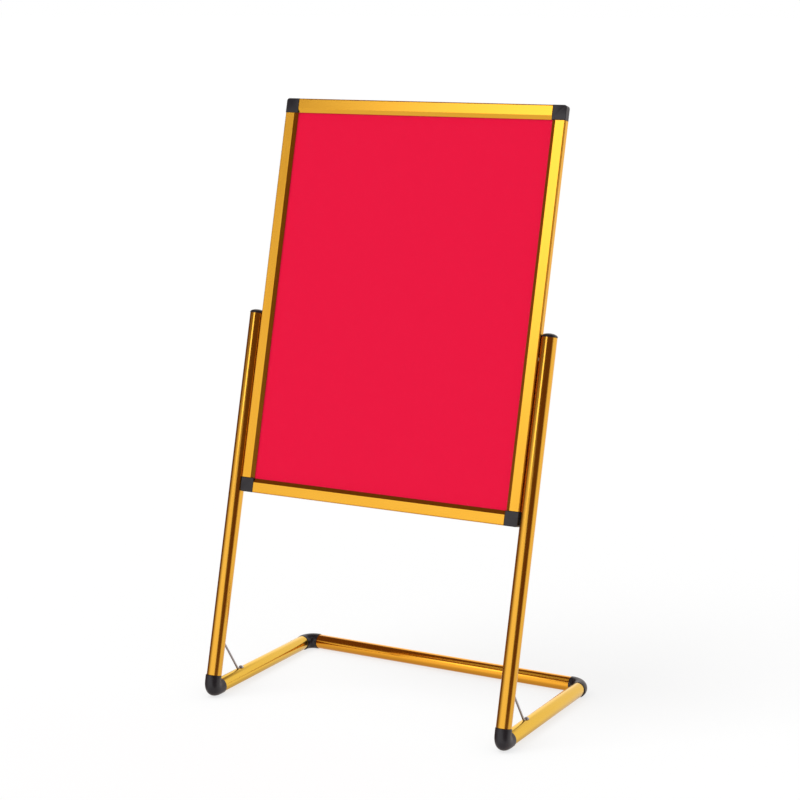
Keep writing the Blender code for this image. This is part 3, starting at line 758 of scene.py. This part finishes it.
def makeStay(name, corner):
    lift = tubeRadius + stand["gap"] + stay["padHalfThick"]
    foot = corner + back * stay["foot"] + up * lift
    head = corner + leanUp * stay["head"] + leanBack * lift
    footEnd, headEnd = foot - back * stay["padHalfLength"], head - leanUp * stay["padHalfLength"]
    lowBend, highBend = footEnd - back * stay["neck"], headEnd - leanUp * stay["neck"]
    rod = (highBend - lowBend).normalized() * stay["neck"]
    rings = padRings(foot, -back, 1)[:-1]
    rings += neckRings(footEnd, lowBend, lowBend + rod, stay["padHalfThick"], stay["radius"])
    rings += neckRings(highBend - rod, highBend, headEnd, stay["radius"], stay["padHalfThick"])
    rings += padRings(head, leanUp, -1)[1:]
    bm = bmesh.new()
    loftRings(bm, rings, stay["sides"])
    finishMesh(name + "_bent", bm, zincSteel, "stand", (name,), stay["sharp"])
    return foot, head


# pan head screws with a cross recess
screw = {
    "shank": 0.0020, "length": 0.0090, "head": 0.0038, "headHeight": 0.0022,
    "slotHalf": 0.00045, "slotReach": 0.0019, "slotDepth": 0.0010,
    "tip": 0.0003, "edge": 0.0001,
    "sides": 40, "domeSteps": 8, "domeTurn": radians(52), "domeFrom": 0.35,
}


def makeScrew(name, seat, outward, shank, length, head, headHeight, scale):
    tip, edge, start = screw["tip"], screw["edge"], screw["domeFrom"]
    steps = [(shank - tip, -length), (shank, tip - length), (shank, 0), (head - edge, 0),
             (head, edge)]
    for step in range(screw["domeSteps"]):
        angle = screw["domeTurn"] * step / (screw["domeSteps"] - 1)
        share = start + (1 - start) * sin(angle) / sin(screw["domeTurn"])
        steps.append((head * cos(angle), headHeight * share))
    bm = bmesh.new()
    rings = [ringAt(Vector((0, 0, height)), up, across, radius) for radius, height in steps]
    top = loftRings(bm, rings, screw["sides"])
    rim = top.edges[:]
    bmesh.ops.delete(bm, geom=[top], context="FACES_ONLY")
    # the cross is a grid of three by three squares without its corners
    half, reach = screw["slotHalf"] * scale, screw["slotReach"] * scale
    grid = bmesh.ops.create_grid(bm, x_segments=3, y_segments=3, size=reach,
                                 matrix=Matrix.Translation((0, 0, headHeight)))["verts"]
    for vert in grid:
        for index in (0, 1):
            if abs(vert.co[index]) < reach * 0.9:
                vert.co[index] = half if vert.co[index] > 0 else -half
    faces = list({face for vert in grid for face in vert.link_faces})
    outside = [face for face in faces if min(abs(face.calc_center_median().x),
                                             abs(face.calc_center_median().y)) > half]
    bmesh.ops.delete(bm, geom=outside, context="FACES")
    cross = [face for face in faces if face.is_valid]
    around = {edge for face in cross for edge in face.edges}
    brink = [edge for edge in around if len(edge.link_faces) == 1]
    bmesh.ops.triangle_fill(bm, edges=rim + brink, use_beauty=True)
    grown = bmesh.ops.extrude_face_region(bm, geom=cross)["geom"]
    bmesh.ops.translate(bm, vec=(0, 0, -screw["slotDepth"] * scale), verts=pointsIn(grown))
    bmesh.ops.delete(bm, geom=[face for face in cross if face.is_valid], context="FACES")
    bm.transform(aimed(seat, outward))
    return finishMesh(name + "_cross", bm, zincSteel, "stand", (name,), 30)


for word, side in (("left", -1), ("right", 1)):
    foot, head = makeStay(word + "_stay", footCorner(side, frontY))
    for end, centre, outward in (("lower", foot, up), ("upper", head, leanBack)):
        seat = centre + outward * (stay["padHalfThick"] + stand["gap"])
        makeScrew(word + "_stay_" + end + "_screw", seat, outward, screw["shank"], screw["length"],
                  screw["head"], screw["headHeight"], 1)
print("stays and screws made")


# tilt bolts, their heads inside the side rails' channels
tilt = {"shank": 0.0015, "head": 0.0027, "headHeight": 0.0019, "recess": 0.7}

for word, side in (("left", -1), ("right", 1)):
    low, high = boxOf(word + "_tilt_bolt")
    seat = (low + high) / 2
    seat.x = (low.x if side > 0 else high.x) + side * tilt["headHeight"]
    tip = high.x if side > 0 else low.x
    makeScrew(word + "_tilt_bolt", seat, across * -side, tilt["shank"], abs(tip - seat.x),
              tilt["head"], tilt["headHeight"], tilt["recess"])
print("tilt bolts made")


# camera at the photograph's place, its image middle a little right of and under the picture's
view = {
    "azimuth": 27.885, "elevation": 11.952,     # degrees
    "place": (1.88892, -3.34701, 1.36087),
    "focal": 1996.7, "middle": (450, 430),      # pixels of a picture that is 800 wide
    "picture": 800, "sensor": 36,
}


def setCamera():
    turn, rise = radians(view["azimuth"]), radians(view["elevation"])
    backward = Vector((sin(turn) * cos(rise), -cos(turn) * cos(rise), sin(rise)))
    lens = bpy.data.cameras.new("camera")
    lens.sensor_width = view["sensor"]
    lens.lens = view["focal"] / view["picture"] * view["sensor"]
    lens.clip_end = 1000
    lens.shift_x = 0.5 - view["middle"][0] / view["picture"]
    lens.shift_y = view["middle"][1] / view["picture"] - 0.5
    camera = bpy.data.objects.new("camera", lens)
    camera.location = view["place"]
    camera.rotation_euler = backward.to_track_quat("Z", "Y").to_euler()
    bpy.context.scene.collection.objects.link(camera)
    bpy.context.scene.camera = camera


setCamera()

# the room that the metal mirrors; azimuth runs from straight ahead towards the right
room = {
    "fill": 0.80,                       # level of the soft light on everything
    "sun": 1.0,
    "dark": (0.13, 0.055, 0.025),       # unlit wooden parts of the room, to both sides and overhead
    "front": 0.92,                      # white screen in front of the stand
    "frontFrom": (-88, -25),            # it fades in between these azimuths
    "frontTo": (20, 32),                # and out between these, earlier higher up
    "frontTilt": 0.8,
    "frontTop": (12, 27),               # and upwards between these elevations
    "behindRight": 0.84, "rightFrom": (78, 100),
    "behindLeft": 1.05, "leftTo": (-142, -132), "leftFrom": (-175, -155),
    "behindTop": (40, 56),
    "floor": 0.72, "floorFrom": (-34, -14),
    "floorDeep": (-70, 0), "deepShare": 0.55,       # it gets darker close to the foot
    "lampTurn": -22, "lampRise": 27, "lampSpread": 14, "lampLevel": 1.95,
    "sunTurn": (-0.5, -0.6, 1.3), "sunSpread": 35,
}


def setRoom():
    world = bpy.data.worlds.new("room")
    bpy.context.scene.world = world
    world.use_nodes = True
    tree = world.node_tree
    tree.nodes.clear()
    link = tree.links.new

    def fade(value, span, low, high):
        node = addNode(tree, "ShaderNodeMapRange", interpolation_type="SMOOTHSTEP",
                       From_Min=radians(span[0]), From_Max=radians(span[1]), To_Min=low,
                       To_Max=high)
        link(value, node.inputs["Value"])
        return node.outputs["Result"]

    def product(*values):
        result = values[0]
        for value in values[1:]:
            result = sumOf(tree, "MULTIPLY", result, value)
        return result

    place = addNode(tree, "ShaderNodeTexCoord")
    split = addNode(tree, "ShaderNodeSeparateXYZ")
    link(place.outputs["Generated"], split.inputs[0])
    azimuth = sumOf(tree, "ARCTAN2", split.outputs["X"], product(split.outputs["Y"], -1.0))
    height = sumOf(tree, "ARCSINE", split.outputs["Z"])
    tilted = sumOf(tree, "ADD", azimuth, product(height, room["frontTilt"]))
    front = product(fade(azimuth, room["frontFrom"], 0, 1), fade(tilted, room["frontTo"], 1, 0),
                    fade(height, room["frontTop"], room["front"], 0))
    upper = fade(height, room["behindTop"], 1, 0)
    right = product(fade(azimuth, room["rightFrom"], 0, 1), upper, room["behindRight"])
    share = room["behindRight"] / room["behindLeft"]
    left = product(fade(azimuth, room["leftTo"], 1, 0),
                   fade(azimuth, room["leftFrom"], share, 1), upper, room["behindLeft"])
    walls = sumOf(tree, "ADD", sumOf(tree, "ADD", front, right), left)
    ground = fade(height, room["floorFrom"], room["floor"], 0)
    walls = product(walls, fade(height, room["floorFrom"], 0, 1))
    level = product(sumOf(tree, "ADD", walls, ground),
                    fade(height, room["floorDeep"], room["deepShare"], 1))
    turn, rise = radians(room["lampTurn"]), radians(room["lampRise"])
    toLamp = addNode(tree, "ShaderNodeVectorMath", operation="DOT_PRODUCT")
    link(place.outputs["Generated"], toLamp.inputs[0])
    toLamp.inputs[1].default_value = (sin(turn) * cos(rise), -cos(turn) * cos(rise), sin(rise))
    lamp = addNode(tree, "ShaderNodeMapRange", interpolation_type="SMOOTHSTEP", From_Max=1.0,
                   To_Min=0.0, From_Min=cos(radians(room["lampSpread"])), To_Max=room["lampLevel"])
    link(toLamp.outputs["Value"], lamp.inputs["Value"])
    level = sumOf(tree, "ADD", level, lamp.outputs["Result"])

    # soft light for dull surfaces, the screens for shiny ones, plain white for the camera
    rays = addNode(tree, "ShaderNodeLightPath")
    plain, studio, white = (addNode(tree, "ShaderNodeBackground", Color=(1, 1, 1, 1))
                            for count in range(3))
    unlit = addNode(tree, "ShaderNodeBackground", Color=(*room["dark"], 1), Strength=1.0)
    plain.inputs["Strength"].default_value = room["fill"]
    white.inputs["Strength"].default_value = 1
    link(level, studio.inputs["Strength"])
    both = addNode(tree, "ShaderNodeAddShader")
    link(studio.outputs[0], both.inputs[0])
    link(unlit.outputs[0], both.inputs[1])
    glossy = addNode(tree, "ShaderNodeMixShader")
    link(rays.outputs["Is Glossy Ray"], glossy.inputs["Fac"])
    link(plain.outputs[0], glossy.inputs[1])
    link(both.outputs[0], glossy.inputs[2])
    seen = addNode(tree, "ShaderNodeMixShader")
    link(sumOf(tree, "MAXIMUM", rays.outputs["Is Camera Ray"], rays.outputs["Is Transmission Ray"]),
         seen.inputs["Fac"])
    link(glossy.outputs[0], seen.inputs[1])
    link(white.outputs[0], seen.inputs[2])
    output = addNode(tree, "ShaderNodeOutputWorld")
    link(seen.outputs[0], output.inputs["Surface"])


floor = {"colour": (0.95, 0.95, 0.95), "rough": 0.9, "whiteShare": 0.72, "size": 250}


def setFloor():
    # pale floor: part of it glows white for the camera, the rest keeps the soft shadow
    bm = bmesh.new()
    bmesh.ops.create_grid(bm, x_segments=1, y_segments=1, size=floor["size"])
    mesh = bpy.data.meshes.new("floor")
    bm.to_mesh(mesh)
    bm.free()
    plane = bpy.data.objects.new("floor", mesh)
    bpy.context.scene.collection.objects.link(plane)
    material, tree, shader = newMaterial("paleFloor")
    shader.inputs["Base Color"].default_value = (*floor["colour"], 1)
    shader.inputs["Roughness"].default_value = floor["rough"]
    shader.inputs["Specular IOR Level"].default_value = 0
    rays = addNode(tree, "ShaderNodeLightPath")
    share = sumOf(tree, "MULTIPLY", rays.outputs["Is Camera Ray"], floor["whiteShare"])
    glow = addNode(tree, "ShaderNodeEmission", Strength=1.0, Color=(1, 1, 1, 1))
    mixed = addNode(tree, "ShaderNodeMixShader")
    tree.links.new(share, mixed.inputs["Fac"])
    tree.links.new(shader.outputs[0], mixed.inputs[1])
    tree.links.new(glow.outputs[0], mixed.inputs[2])
    tree.links.new(mixed.outputs[0], tree.nodes["Material Output"].inputs["Surface"])
    mesh.materials.append(material)
    plane.visible_glossy = False        # the room's own floor is what the metal mirrors


def setSun():
    lamp = bpy.data.lights.new("softSun", "SUN")
    lamp.energy = room["sun"]
    lamp.angle = radians(room["sunSpread"])
    sun = bpy.data.objects.new("softSun", lamp)
    sun.rotation_euler = Vector(room["sunTurn"]).to_track_quat("Z", "Y").to_euler()
    sun.visible_glossy = False
    bpy.context.scene.collection.objects.link(sun)


setRoom()
setFloor()
setSun()
bpy.context.scene.view_settings.view_transform = "Standard"
print("camera, floor and lamps set")
